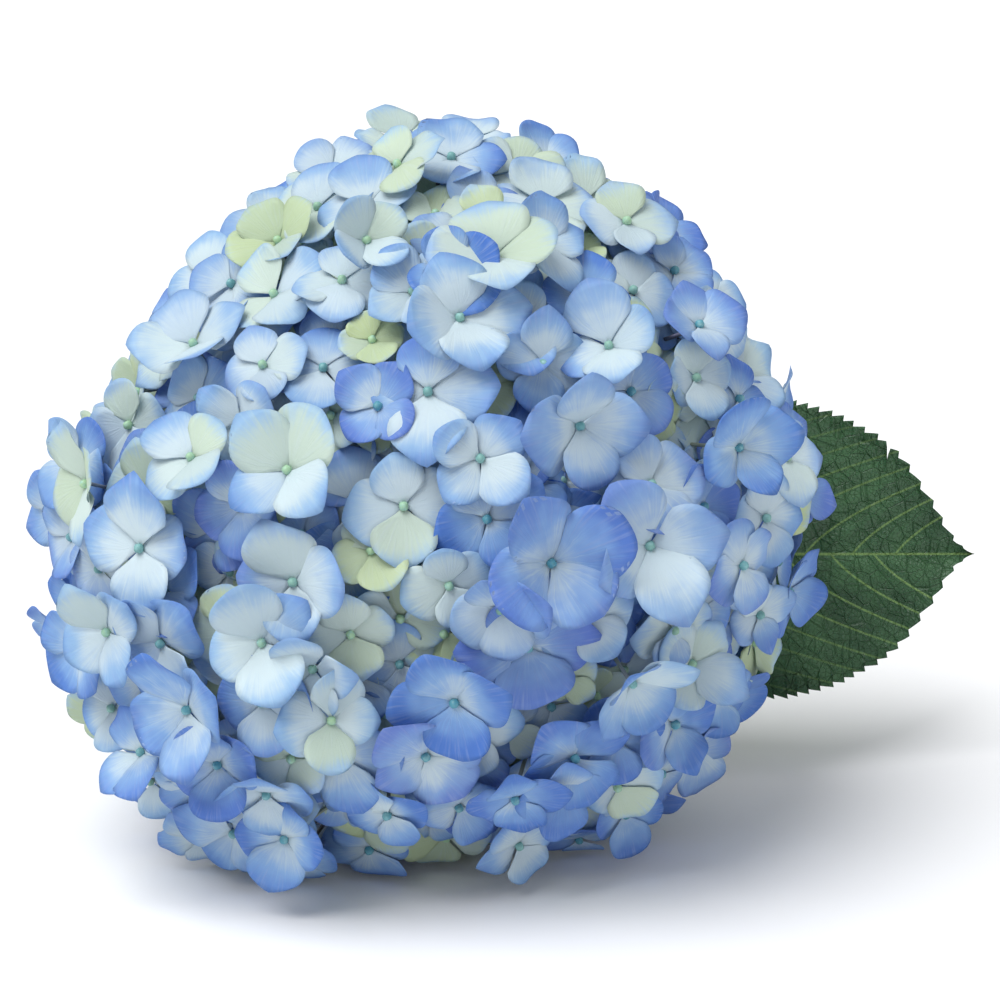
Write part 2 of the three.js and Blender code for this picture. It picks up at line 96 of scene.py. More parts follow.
# The florets of the head's face, listed one by one: right and up from the middle in hundredths of
# HEAD_RADIUS, span in hundredths of FLORET_SPAN, turn in degrees, and blue from 0, a young
# green floret, to 100, a deep blue one.
FACE_FLORETS = (
    (6, 89, 100, 0, 60), (-7, 84, 86, 20, 30), (-15, 76, 89, 10, 60), (-27, 74, 96, 0, 55),
    (-41, 73, 93, 15, 50), (30, 77, 107, 15, 35), (49, 70, 86, 0, 35), (40, 68, 50, 45, 0),
    (-37, 66, 79, 30, 25), (1, 64, 79, 30, 15), (-14, 62, 71, 45, 45), (7, 56, 86, 20, 80),
    (-20, 54, 89, 0, 45), (-38, 53, 93, 30, 50), (16, 58, 100, 10, 45), (-3, 52, 79, 40, 50),
    (28, 62, 86, 25, 50), (63, 60, 82, 30, 60), (-55, 57, 89, 0, 55), (-66, 47, 86, 20, 60),
    (55, 47, 71, 0, 10), (8, 44, 93, 0, 55), (23, 43, 86, 20, 65), (65, 43, 82, 20, 80),
    (-13, 41, 57, 20, 5), (39, 51, 86, 10, 60), (-55, 38, 93, 20, 50), (28, 34, 93, 0, 60),
    (-38, 33, 79, 10, 30), (-25, 34, 89, 5, 60), (43, 37, 86, 20, 40), (67, 32, 79, 10, 30),
    (14, 31, 71, 40, 5), (1, 27, 114, 5, 60), (-57, 27, 86, 40, 70), (50, 28, 86, 30, 75),
    (-11, 24, 86, 50, 85), (59, 25, 61, 10, 10), (79, 27, 86, 10, 85), (-77, 21, 93, 20, 35),
    (-44, 20, 79, 50, 40), (36, 19, 100, 0, 60), (-54, 11, 86, 40, 45), (13, 11, 89, 45, 40),
    (89, 12, 79, 0, 35), (74, 14, 82, 30, 55), (-31, 8, 96, 45, 50), (-69, 4, 86, 10, 50),
    (54, 5, 100, 20, 60), (24, 6, 86, 20, 70), (-5, 0, 96, 5, 40), (-45, 0, 86, 15, 80),
    (69, 0, 86, 20, 85), (86, -3, 86, 0, 45), (15, -3, 100, 30, 85), (52, -9, 114, 30, 50),
    (-67, -10, 107, 0, 75), (-13, -11, 79, 30, 10), (29, -13, 114, 30, 80), (75, -14, 89, 30, 60),
    (-83, -16, 79, 0, 60), (-31, -18, 100, 10, 50), (42, -18, 79, 0, 35), (6, -19, 86, 15, 40),
    (-65, -21, 93, 30, 75), (18, -24, 86, 20, 35), (-24, -24, 64, 40, 10), (85, -28, 79, 20, 45),
    (38, -27, 86, 45, 55), (-76, -30, 93, 20, 65), (62, -31, 79, 10, 40), (-18, -31, 79, 20, 35),
    (5, -32, 79, 40, 10), (-38, -32, 89, 30, 35), (-48, -31, 93, 20, 25), (-64, -33, 93, 45, 70),
    (25, -34, 111, 10, 80), (-26, -38, 79, 10, 40), (67, -40, 79, 45, 15), (48, -41, 89, 30, 55),
    (36, -43, 54, 30, 5), (-39, -47, 96, 10, 65), (7, -45, 111, 15, 75), (-56, -48, 107, 25, 80),
    (-22, -50, 86, 0, 40), (45, -50, 71, 20, 15), (61, -54, 93, 10, 70), (-81, -52, 79, 10, 50),
    (10, -56, 93, 10, 40), (76, -50, 82, 0, 60), (47, -58, 89, 0, 80), (0, -60, 96, 30, 70),
    (36, -61, 100, 30, 75), (-21, -62, 104, 5, 80), (-33, -62, 79, 40, 40), (-50, -62, 89, 10, 95),
    (-69, -60, 86, 20, 60), (21, -69, 89, 10, 70), (33, -69, 86, 0, 45), (60, -69, 82, 15, 60),
    (-39, -70, 86, 0, 70), (-57, -71, 100, 45, 75), (49, -77, 79, 0, 75), (-9, -73, 79, 30, 55),
    (-34, -80, 79, 0, 75), (8, -76, 79, 20, 60), (-75, -74, 79, 0, 50), (-58, -84, 82, 20, 65),
    (22, -83, 82, 30, 55), (-15, -88, 93, 30, 70),
)

# ---------- details that only the looks have ----------

# The florets half hidden behind the others: the distance between them and from them to those in
# front, how deep they lie, their share of FLORET_SPAN and how blue they are. kind picks their own
# set of chances.
MIDDLE_LAYER = dict(
    spacing=10.5, clearance=8.5, depth=7.0, spans=(0.7, 0.95), blues=(0.15, 0.85), kind=10,
)
# The small green florets under all of those.
DEEP_LAYER = dict(spacing=10.0, clearance=0, depth=11.5, spans=(0.45, 0.7), blues=(0, 0.3), kind=20)
LIFTS = (0.0, 3.6, 1.8, 5.0, -1.4)  # the heights to which neighbouring florets rise
LIFT_REACH = 24.0  # florets nearer than this count as neighbours
EDGE_LIFT = 0.45  # the share of its lift that a floret round the head's edge keeps
SEPAL_COUNT = 4
SEPAL_CELLS = 8  # mesh cells along and across a sepal
SEPAL_THICKNESS = 0.22
BUD_RADIUS = 1.3
CLUSTER_STALK_RADII = (1.25, 0.8)  # at its joint and at its end
PEDICEL_RADII = (0.62, 0.5)  # at the stalk and at the floret
FLOOR_GAP = 0.25  # the lowest that a sepal reaches above the surface


def chance(index, kind):
    """The same number from 0 to 1 each time for a given pair of whole numbers."""
    wave = math.sin(index * 12.9898 + kind * 78.233) * 43758.5453
    return wave - math.floor(wave)


def lerp(a, b, share):
    return a + (b - a) * share


def smoothstep(x, low, high):
    t = min(max((x - low) / (high - low), 0.0), 1.0)
    return t * t * (3 - 2 * t)


def unit(v):
    return v / np.linalg.norm(v)


# ---------- places in the head's own frame: +X right, +Y up, +Z out of its face ----------


def outline_radius(azimuth):
    place = ((azimuth / (2 * math.pi) + 1) % 1) * len(OUTLINE)
    start = int(place) % len(OUTLINE)
    share = (1 - math.cos(math.pi * (place - int(place)))) / 2
    return HEAD_RADIUS * lerp(OUTLINE[start], OUTLINE[(start + 1) % len(OUTLINE)], share)


def shell_point(polar, azimuth):
    across = outline_radius(azimuth) * math.sin(polar)
    depth = (FRONT_DEPTH if polar < math.pi / 2 else BACK_DEPTH) * math.cos(polar)
    return np.array((across * math.cos(azimuth), across * math.sin(azimuth), depth))


def shell_normal(point, azimuth):
    radius = outline_radius(azimuth)
    depth = FRONT_DEPTH if point[2] > 0 else BACK_DEPTH
    return unit(point / np.array((radius, radius, depth)) ** 2)


def lattice(count):
    """Angles of count places spread evenly over the shell, from the pole to the rim."""
    golden_angle = math.pi * (3 - math.sqrt(5))
    drop = 1 - math.cos(math.radians(RIM_ANGLE))
    return [
        (math.acos(1 - drop * (k + 0.5) / count), (k * golden_angle) % (2 * math.pi))
        for k in range(count)
    ]


LATTICE_POINTS = np.array([shell_point(*angles) for angles in lattice(2000)])


def lowest_reach(tilt):
    return -(LATTICE_POINTS @ (0, math.cos(tilt), math.sin(tilt))).min()


def resting_tilt():
    """The tilt that rests both the head and the cut end on the surface."""
    tilt = 0.0
    for _ in range(30):
        reach = lowest_reach(tilt) - SINK - STEM_RADIUS
        tilt = math.asin(reach / (HUB_DEPTH + STEM_LENGTH))
    return tilt


TILT = resting_tilt()
HEAD_HEIGHT = lowest_reach(TILT) - SINK
UP = np.array((0.0, math.cos(TILT), math.sin(TILT)))  # the surface's normal
HUB = np.array((0.0, 0.0, -HUB_DEPTH))
# Rows of this matrix are the world's axes in the head's frame.
TO_WORLD = np.array((
    (1, 0, 0),
    (0, math.sin(TILT), -math.cos(TILT)),
    (0, math.cos(TILT), math.sin(TILT)),
))


def height_of(point):
    return HEAD_HEIGHT + point @ UP


def to_world(points):
    """Points of the head's frame in the row frame, in metres."""
    return (points @ TO_WORLD.T + (0, 0, HEAD_HEIGHT)) * MM


# ---------- florets ----------


def face_way(outwards, polar):
    """The way that a floret faces: outwards, and round the head's edge partly forwards."""
    angle = math.degrees(polar)
    at_edge = smoothstep(angle, 35, 75) * (1 - smoothstep(angle, 95, 115))
    return unit(outwards + np.array((0, 0, FACE_LEAN * at_edge)))


def place_floret(polar, azimuth, span, turn, blue):
    shell = shell_point(polar, azimuth)
    outwards = shell_normal(shell, azimuth)
    normal = face_way(outwards, polar)
    heart = shell - outwards * DEEP_STEP * (1 - smoothstep(blue, 0, 0.45))
    pressed = height_of(heart) < PRESS_HEIGHT
    if pressed:
        heart = heart - UP * height_of(heart)
        normal = -UP
    return dict(shell=shell, outwards=outwards, heart=heart, normal=normal, span=span, turn=turn,
                blue=blue, pressed=pressed, deep=False, lift=0.0)


def face_floret(right, up, span, turn, blue):
    azimuth = math.atan2(up, right)
    away = math.hypot(right, up) / 100 * HEAD_RADIUS / outline_radius(azimuth)
    return place_floret(math.asin(min(away, 0.99)), azimuth, span / 100 * FLORET_SPAN,
                        math.radians(turn), blue / 100)


def all_florets():
    """The face's florets, one that the head rests on, and as many more as there is room for."""
    florets = [face_floret(*row) for row in FACE_FLORETS]
    rest = place_floret(math.pi / 2 + TILT, -math.pi / 2, FLORET_SPAN, 0, 0.6)
    rest["heart"] = UP * -HEAD_HEIGHT
    florets.append(rest)
    for k, (polar, azimuth) in enumerate(lattice(1400)):
        place = shell_point(polar, azimuth)
        if any(np.linalg.norm(other["shell"] - place) < FLORET_SPACING for other in florets):
            continue
        on_face = polar < math.radians(FACE_EDGE_ANGLE)
        span = FLORET_SPAN * lerp(*(FACE_SPANS if on_face else SIDE_SPANS), chance(k, 1))
        blue = lerp(*(FACE_BLUES if on_face else SIDE_BLUES), chance(k, 2))
        florets.append(place_floret(polar, azimuth, span, chance(k, 3) * math.pi / 2, blue))
    return florets


def hidden_florets(front, spacing, clearance, depth, spans, blues, kind):
    """Florets under those in front, of which only parts show through the gaps."""
    florets = []
    for k, (polar, azimuth) in enumerate(lattice(1600)):
        place = shell_point(polar, azimuth)
        if any(np.linalg.norm(other["shell"] - place) < clearance for other in front):
            continue
        if any(np.linalg.norm(other["shell"] - place) < spacing for other in florets):
            continue
        span = FLORET_SPAN * lerp(*spans, chance(k, kind))
        blue = lerp(*blues, chance(k, kind + 1))
        floret = place_floret(polar, azimuth, span, chance(k, kind + 2) * math.pi / 2, blue)
        if floret["pressed"]:
            continue
        floret["heart"] = place - floret["outwards"] * lerp(0.7, 1.3, chance(k, kind + 3)) * depth
        floret["deep"] = True
        florets.append(floret)
    return florets


def clear_lift(taken):
    """The lift furthest from those taken, or the least one where none is."""

    def clearance(lift):
        return min((abs(lift - other) for other in taken), default=-lift)

    return max(LIFTS, key=clearance)


def spread_heights(florets):
    """Lifts neighbouring florets by different amounts, so that they overlap like tiles."""
    placed = []
    for floret in florets:
        if floret["pressed"] or floret["deep"]:
            continue
        heart = floret["heart"]
        near = [other for other in placed if np.linalg.norm(other["heart"] - heart) < LIFT_REACH]
        floret["lift"] = clear_lift([other["lift"] for other in near])
        floret["lift"] *= lerp(1, EDGE_LIFT, smoothstep(-floret["outwards"][2], -0.6, -0.1))
        placed.append(floret)


# ---------- clusters ----------


def nearest_ray(rays, point):
    to = unit(point - HUB)
    return int(np.argmax([unit(ray) @ to for ray in rays]))


def all_clusters():
    florets = all_florets()
    rays = [shell_point(*angles) - HUB for angles in lattice(CLUSTER_COUNT)]
    for _ in range(GROUPING_ROUNDS):
        groups = [[] for _ in rays]
        for floret in florets:
            groups[nearest_ray(rays, floret["heart"])].append(floret)
        rays = [np.mean([floret["heart"] - HUB for floret in group], axis=0) for group in groups]
    spread_heights(florets)
    middle = hidden_florets(florets, **MIDDLE_LAYER)
    deep = hidden_florets([], **DEEP_LAYER)
    for floret in middle + deep:
        groups[nearest_ray(rays, floret["heart"])].append(floret)
    return [dict(ray=ray, florets=group) for ray, group in zip(rays, groups)]


# ---------- meshes ----------


class Shape:
    """Vertices, faces and per-vertex values of a piece, gathered part by part."""

    def __init__(self, *values):
        self.points = []
        self.faces = []
        self.slots = []
        self.values = {name: [] for name in values}
        self.count = 0

    def add(self, points, faces, slot=0, **values):
        self.points.append(points)
        self.faces += [tuple(i + self.count for i in face) for face in faces]
        self.slots += [slot] * len(faces)
        for name, rows in self.values.items():
            rows.append(np.broadcast_to(values.get(name, 0.0), len(points)))
        self.count += len(points)

    def piece(self, name, materials):
        mesh = bpy.data.meshes.new(name)
        mesh.from_pydata(to_world(np.concatenate(self.points)).tolist(), [], self.faces)
        for value, rows in self.values.items():
            layer = mesh.attributes.new(value, "FLOAT", "POINT")
            layer.data.foreach_set("value", np.concatenate(rows).astype(np.float32))
        for material in materials:
            mesh.materials.append(material)
        mesh.polygons.foreach_set("material_index", self.slots)
        mesh.polygons.foreach_set("use_smooth", [True] * len(mesh.polygons))
        mesh.update()
        made = bpy.data.objects.new(name, mesh)
        bpy.context.scene.collection.objects.link(made)
        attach(made, "root")
        return made


def sheet_faces(rows, columns):
    """Faces of a closed thin sheet: a grid of (rows + 1) x (columns + 1) tops, then its bottoms."""
    under = (rows + 1) * (columns + 1)

    def corner(r, c):
        return r * (columns + 1) + c

    faces = []
    for r in range(rows):
        for c in range(columns):
            ring = (corner(r, c), corner(r, c + 1), corner(r + 1, c + 1), corner(r + 1, c))
            faces += [ring[::-1], tuple(i + under for i in ring)]
    edge = [corner(0, c) for c in range(columns)]
    edge += [corner(r, columns) for r in range(rows)]
    edge += [corner(rows, c) for c in range(columns, 0, -1)]
    edge += [corner(r, 0) for r in range(rows, 0, -1)]
    for a, b in zip(edge, edge[1:] + edge[:1]):
        faces.append((a, b, b + under, a + under))
    return faces


def tube(path, radii, sides):
    """Points and faces of a closed tube along a path."""
    path = np.asarray(path, float)
    ahead = np.gradient(path, axis=0)
    side = np.cross(ahead[0], (0.3, 1.0, 0.2))
    points = []
    for place, direction, radius in zip(path, ahead, np.broadcast_to(radii, len(path))):
        direction = unit(direction)
        side = unit(side - direction * (side @ direction))
        other = np.cross(direction, side)
        for k in range(sides):
            angle = 2 * math.pi * k / sides
            points.append(place + radius * (math.cos(angle) * side + math.sin(angle) * other))
    faces = []
    for r in range(len(path) - 1):
        for k in range(sides):
            a, b = r * sides + k, r * sides + (k + 1) % sides
            faces.append((a, b, b + sides, a + sides))
    faces.append(tuple(reversed(range(sides))))
    faces.append(tuple(range(len(points) - sides, len(points))))
    return np.array(points), faces


def bent_path(start, end, sag, count):
    """A path between two points that bows by sag, a vector, halfway."""
    shares = np.linspace(0, 1, count)[:, None]
    return start + (end - start) * shares + np.sin(np.pi * shares) * sag


def on_both_sides(values):
    """The values of a thin sheet's tops, then the same for its bottoms."""
    return np.concatenate((values.ravel(), values.ravel()))


# ---------- a floret's looks ----------

GRID = np.linspace(-1, 1, SEPAL_CELLS + 1)
ACROSS_SQUARE, ALONG_SQUARE = np.meshgrid(GRID, GRID)
# The square grid drawn in to a disc.
DISC_X = (ALONG_SQUARE * np.sqrt(1 - ACROSS_SQUARE**2 / 2)).ravel()
DISC_Y = (ACROSS_SQUARE * np.sqrt(1 - ALONG_SQUARE**2 / 2)).ravel()
DISC_R = np.hypot(DISC_X, DISC_Y)
SEPAL_ALONG = (0.5 + 0.5 * DISC_X).clip(0, 1) ** 0.8
SEPAL_FACES = sheet_faces(SEPAL_CELLS, SEPAL_CELLS)
SEPAL_VALUES = dict(
    along=on_both_sides(SEPAL_ALONG),
    rim=on_both_sides(DISC_R**2 * SEPAL_ALONG),
    fan=on_both_sides(np.arctan2(DISC_Y * 0.9, SEPAL_ALONG * 2 + 0.25)),
    under=np.repeat((0.0, 1.0), len(SEPAL_ALONG)),
)
SEPAL, BUD, STALK = range(3)  # a cluster's material slots


def sepal_points(length, width, upper, cup, rng):
    """A sepal in its own frame: x along it from the floret's heart, y across, z up."""
    along = SEPAL_ALONG
    claw = np.clip(rng.uniform(0.08, 0.3) + 2.3 * along, 0, 1)
    pointed = rng.uniform(0.0, 0.2) * np.clip(DISC_X, 0, 1) ** 4
    x = length * (along + pointed * (1 - np.abs(DISC_Y)))
    y = width / 2 * (DISC_Y * claw + rng.normal(0, 0.08) * along * (1 - DISC_Y**2))
    rise = cup + rng.normal(0, 0.07) + (0.1 if upper else 0.0)
    arch = rise * rng.uniform(-0.2, 0.6) + rng.normal(0.02, 0.07)
    fold = rng.uniform(0.0, 0.2) if upper else rng.uniform(-0.1, 0.1)
    twist = rng.normal(0, 0.09)
    waves = np.sin(np.arctan2(DISC_Y, DISC_X) * rng.uniform(2, 5) + rng.uniform(0, 6))
    z = length * (rise * along - arch * along**2.4 + fold * DISC_Y**2 * along
                  + twist * DISC_Y * along + rng.uniform(0.01, 0.06) * waves * DISC_R**3 * along)
    z += 0.35 if upper else 0.0
    thickness = SEPAL_THICKNESS * (1 - 0.55 * DISC_R**2)
    top = np.stack((x, y, z), axis=1)
    return np.concatenate((top, top - np.outer(thickness, (0, 0, 1))))


def turn_about_z(angle):
    """Rows are the x, y and z axes when they are turned about z."""
    return np.array((
        (math.cos(angle), math.sin(angle), 0),
        (-math.sin(angle), math.cos(angle), 0),
        (0, 0, 1),
    ))


def facing(normal, turn):
    """Rows are a floret's x, y and z axes when it faces along normal and is turned about it."""
    turned = Vector((0, 0, 1)).rotation_difference(Vector(normal)).to_matrix()
    x = np.array(turned @ Vector((math.cos(turn), math.sin(turn), 0)))
    return np.array((x, np.cross(normal, x), normal))


def above_floor(points):
    """Points near the surface pressed flat against it, the lowest of them the most."""
    heights = HEAD_HEIGHT + points @ UP
    room = PRESS_HEIGHT - FLOOR_GAP
    pressed = FLOOR_GAP + room * np.exp(np.minimum(heights - PRESS_HEIGHT, 0) / room)
    return points + np.outer(np.where(heights < PRESS_HEIGHT, pressed - heights, 0), UP)


def room_to_lean(floret):
    """How freely a floret leans and cups: the more, the higher it stands above its neighbours."""
    if floret["pressed"]:
        return 0.0
    if floret["deep"]:
        return 0.2
    return 1 + 0.4 * max(0, floret["lift"])


def add_floret(shape, floret, rng):
    room = room_to_lean(floret)
    lean = np.array((*rng.normal(0, 0.04 + 0.08 * room, 2), 0))
    axes = facing(unit(floret["normal"] + lean), floret["turn"] + rng.normal(0, 0.08))
    heart = floret["heart"] + floret["normal"] * floret["lift"]
    floret["seat"] = heart - axes[2] * 0.6
    # The florets on the lower right are made the bluest, and so the darkest: partly their own
    # deeper blue, partly painted shade on the head's lower and right sides.
    right, up = floret["heart"][:2] / HEAD_RADIUS
    blue = np.clip(floret["blue"] + 0.1 * right - 0.09 * up + rng.normal(0, 0.08), 0, 1)
    lilac = max(0.0, rng.normal(0.05, 0.22))
    cup = rng.uniform(0.01, 0.03 + 0.2 * room)
    at_edge = smoothstep(-floret["outwards"][2], -0.5, 0.0)
    edge_share = lerp(1, 0.86, at_edge)
    for k in range(SEPAL_COUNT):
        upper = k % 2 == 1
        length = floret["span"] / 2 * rng.uniform(0.78, 0.98) * (1 + 0.2 * cup) * edge_share
        width = length * rng.uniform(1.04, 1.34)
        turn = turn_about_z(2 * math.pi / SEPAL_COUNT * k + rng.normal(0, 0.12))
        points = sepal_points(length, width, upper, cup, rng) @ turn @ axes + heart
        tints = dict(
            blue=np.clip(blue + rng.normal(0, 0.08), 0, 1),
            lilac=min(1.0, lilac + max(0, rng.normal(0, 0.1))),
            shade=rng.uniform(0, 1),
        )
        shape.add(above_floor(points), SEPAL_FACES, SEPAL, **SEPAL_VALUES, **tints)
    add_bud(shape, heart, axes, blue, floret["span"])


def ball(rings, sides):
    """Points and faces of a ball of radius 1, poles on z."""
    points = [(0, 0, 1)]
    for r in range(1, rings):
        polar = math.pi * r / rings
        for k in range(sides):
            a = 2 * math.pi * k / sides
            across = math.sin(polar)
            points.append((across * math.cos(a), across * math.sin(a), math.cos(polar)))
    points.append((0, 0, -1))
    end = len(points) - 1
    faces = []
    for k in range(sides):
        after = (k + 1) % sides
        faces.append((0, 1 + k, 1 + after))
        faces.append((end, end - sides + after, end - sides + k))
        for r in range(rings - 2):
            ring = 1 + r * sides
            faces.append((ring + k, ring + sides + k, ring + sides + after, ring + after))
    return np.array(points), faces


BALL_POINTS, BALL_FACES = ball(6, 12)
BALL_AZIMUTHS = np.arctan2(BALL_POINTS[:, 1], BALL_POINTS[:, 0])


def add_bud(shape, heart, axes, blue, span):
    """The unopened bud in the middle of a floret: a ball squared off between its four seams."""
    radius = BUD_RADIUS * (0.7 + 0.3 * span / FLORET_SPAN)
    out = radius * (1 - 0.12 * np.abs(np.cos(2 * BALL_AZIMUTHS)) ** 4)
    tall = np.full(len(out), 1.1 * radius)
    local = BALL_POINTS * np.stack((out, out, tall), axis=1) + (0, 0, 0.9)
    shape.add(above_floor(local @ axes + heart), BALL_FACES, BUD, blue=blue)


def add_stalks(shape, cluster):
    """The cluster's own stalk and one pedicel for each floret."""
    first, last = CLUSTER_FORKS
    shares = np.linspace(CLUSTER_JOINT, last + 0.01, 5)
    stalk = [HUB + cluster["ray"] * share for share in shares]
    shape.add(*tube(stalk, np.linspace(*CLUSTER_STALK_RADII, 5), 8), STALK, along=0.0)
    for i, floret in enumerate(cluster["florets"]):
        start = HUB + cluster["ray"] * lerp(last, first, i / len(cluster["florets"]))
        end = floret["seat"]
        sag = floret["normal"] * 0.06 * np.linalg.norm(end - start)
        points, faces = tube(bent_path(start, end, -sag, 7), np.linspace(*PEDICEL_RADII, 7), 6)
        shape.add(above_floor(points), faces, STALK, along=np.repeat(np.linspace(0.2, 1, 7), 6))


def cluster_piece(index, cluster, materials):
    rng = np.random.default_rng(1000 + index)
    shape = Shape("along", "rim", "fan", "under", "blue", "lilac", "shade")
    for floret in cluster["florets"]:
        add_floret(shape, floret, rng)
    add_stalks(shape, cluster)
    node = f"floret_cluster_{index + 1:02d}"
    piece = shape.piece(f"sepals_{index + 1:02d}", materials)
    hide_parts(node)


# ---------- stem ----------

STEM_CUT_CENTRE = HUB - (0, 0, STEM_LENGTH - STEM_RADIUS)
STEM_SKIN, CUT_FACE = range(2)  # the stem's material slots


def catmull_rom(points, count):
    """count places along a smooth curve through points."""
    points = np.asarray(points, float)
    ends = np.vstack((2 * points[0] - points[1], points, 2 * points[-1] - points[-2]))
    places = []
    for t in np.linspace(0, len(points) - 1, count):
        i = min(int(t), len(points) - 2)
        f = t - i
        a, b, c, d = ends[i:i + 4]
        places.append(0.5 * (2 * b + (c - a) * f + (2 * a - 5 * b + 4 * c - d) * f * f
                             + (3 * b - a - 3 * c + d) * f**3))
    return np.array(places)


def stem_path(count):
    bow = (0, 1, 0.4, -0.5, 0)
    places = []
    for i, share in enumerate(bow):
        places.append((STEM_BOW * share, 0, -HUB_DEPTH - STEM_LENGTH * i / (len(bow) - 1)))
    return catmull_rom(places, count)


def node_centre():
    path = stem_path(400)
    gone = np.concatenate(((0,), np.cumsum(np.linalg.norm(np.diff(path, axis=0), axis=1))))
    return path[np.searchsorted(gone, NODE_BELOW_HUB)]


def stem_piece(clusters, materials):
    shape = Shape()
    path = stem_path(120)
    centre = node_centre()
    from_node = np.linalg.norm(path - centre, axis=1)
    radii = STEM_RADIUS + (NODE_RADIUS - STEM_RADIUS) * np.exp(-(from_node / 4.5) ** 2)
    radii += 0.8 * np.exp(-np.linalg.norm(path - HUB, axis=1) / 5)
    shape.add(*tube(path, radii, 20))
    rays = [shell_point(*angles) - HUB for angles in lattice(RAY_COUNT)]
    carried = [[] for _ in rays]
    for cluster in clusters:
        carried[nearest_ray(rays, HUB + cluster["ray"] * CLUSTER_JOINT)].append(cluster)
    first, last = RAY_FORKS
    for ray, group in zip(rays, carried):
        main = bent_path(HUB, HUB + ray * (last + 0.01), 0, 9)
        shape.add(*tube(main, np.linspace(RAY_RADIUS * 1.1, RAY_RADIUS * 0.75, 9), 10))
        for i, cluster in enumerate(group):
            start = HUB + ray * lerp(last, first, i / len(group))
            joint = HUB + cluster["ray"] * (CLUSTER_JOINT + 0.005)
            branch = bent_path(start, joint, ray * 0.02, 9)
            shape.add(*tube(branch, np.linspace(BRANCH_RADIUS, BRANCH_RADIUS * 0.85, 9), 8))
    piece = shape.piece("stem_grown", materials)
    grow_together(piece)
    cut_lean = math.radians(STEM_CUT_ANGLE)
    cut_way = np.array((0, math.sin(cut_lean), -math.cos(cut_lean)))
    cut_off(piece, STEM_CUT_CENTRE, cut_way, CUT_FACE)
    cut_off(piece, -HEAD_HEIGHT * UP, -UP, STEM_SKIN)
    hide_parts("stem")


def cut_off(piece, place, outwards, slot):
    """Takes away what lies beyond a plane of the head's frame, and closes it with a flat face."""
    flesh = bmesh.new()
    flesh.from_mesh(piece.data)
    bmesh.ops.bisect_plane(
        flesh,
        geom=flesh.verts[:] + flesh.edges[:] + flesh.faces[:],
        plane_co=Vector(to_world(place)),
        plane_no=Vector(TO_WORLD @ outwards),
        clear_outer=True,
    )
    edges = [edge for edge in flesh.edges if edge.is_boundary]
    for face in bmesh.ops.holes_fill(flesh, edges=edges, sides=0)["faces"]:
        face.material_index = slot
        face.smooth = False
    flesh.to_mesh(piece.data)
    flesh.free()


def grow_together(piece):
    """Joins a piece's overlapping tubes into one skin."""
    remesh = piece.modifiers.new("one_skin", "REMESH")
    remesh.mode = "VOXEL"
    remesh.voxel_size = 0.55 * MM
    smooth = piece.modifiers.new("soften", "SMOOTH")
    smooth.factor = 0.5
    smooth.iterations = 4
    whole = piece.evaluated_get(bpy.context.evaluated_depsgraph_get())
    joined = bpy.data.meshes.new_from_object(whole)
    piece.modifiers.clear()
    materials = list(piece.data.materials)
    piece.data = joined
    joined.materials.clear()
    for material in materials:
        joined.materials.append(material)
    joined.polygons.foreach_set("use_smooth", [True] * len(joined.polygons))


# ---------- leaf ----------

LEAF_ROWS = 304
LEAF_COLUMNS = 80
LATERAL_VEINS = (-0.16, 0.0, 0.16, 0.31, 0.45, 0.58, 0.69, 0.79)  # where they leave the midrib
VEIN_SHIFT = 0.025  # how much further on those above the midrib leave it, and those below it less
VEIN_SWEEP = 0.75  # how far they run forwards for each mm outwards, at first
VEIN_CURVE = 0.045  # and how much more they do with each mm
UPPER_SHARE = 1.09  # how much wider the half above the midrib is than the CAD's
TEAR_PLACE = 30 / LEAF_TEETH  # a small nick in the upper margin, in the notch between two teeth
TEAR_DEPTH = 3.5
TEAR_HALF_WIDTH = 0.7
TOOTH_DEPTH = 1.5
TOOTH_LEAN = 0.8  # how far a tooth's point reaches forwards


def leaf_half_width(along):
    outline = catmull_rom(LEAF_OUTLINE, 300)
    return np.interp(along, outline[:, 0], outline[:, 1]) * LEAF_WIDTH / 2


def leaf_grid():
    """Arrays over the blade: place along it and across it in mm, and share of the half-width."""
    rows = np.linspace(0, 1, LEAF_ROWS + 1)
    columns = np.linspace(-1, 1, LEAF_COLUMNS + 1)
    along, across = np.meshgrid(rows, columns, indexing="ij")
    edge = np.abs(across) ** 9
    phase = (along * LEAF_TEETH) % 1
    half = leaf_half_width(along) * np.clip((1 - along) / 0.03, 0.12, 1)
    tooth = TOOTH_DEPTH * edge * (1 - phase) * np.clip(np.sin(np.pi * along) * 4, 0, 1)
    sideways = np.sign(across) * np.maximum(0.1 * np.abs(across), np.abs(across) * half - tooth)
    from_tear = np.abs(along - TEAR_PLACE) * LEAF_LENGTH
    nick = np.clip(1 - from_tear / TEAR_HALF_WIDTH, 0, 1) * (across > 0)
    sideways = sideways * np.where(across > 0, UPPER_SHARE, 1.0) - TEAR_DEPTH * nick * across**4
    forwards = along * LEAF_LENGTH + TOOTH_LEAN * phase * edge * (along < 0.95) * (1 - nick)
    return forwards, sideways, across


def from_veins(forwards, sideways):
    """Distance in mm to the nearest lateral vein or to the midrib."""
    out = np.abs(sideways)
    start = forwards - VEIN_SWEEP * out - VEIN_CURVE * out**2
    start = start - np.sign(sideways) * VEIN_SHIFT * LEAF_LENGTH
    nearest = np.min([np.abs(start - vein * LEAF_LENGTH) for vein in LATERAL_VEINS], axis=0)
    return np.minimum(out, nearest / np.hypot(1, VEIN_SWEEP + 2 * VEIN_CURVE * out))


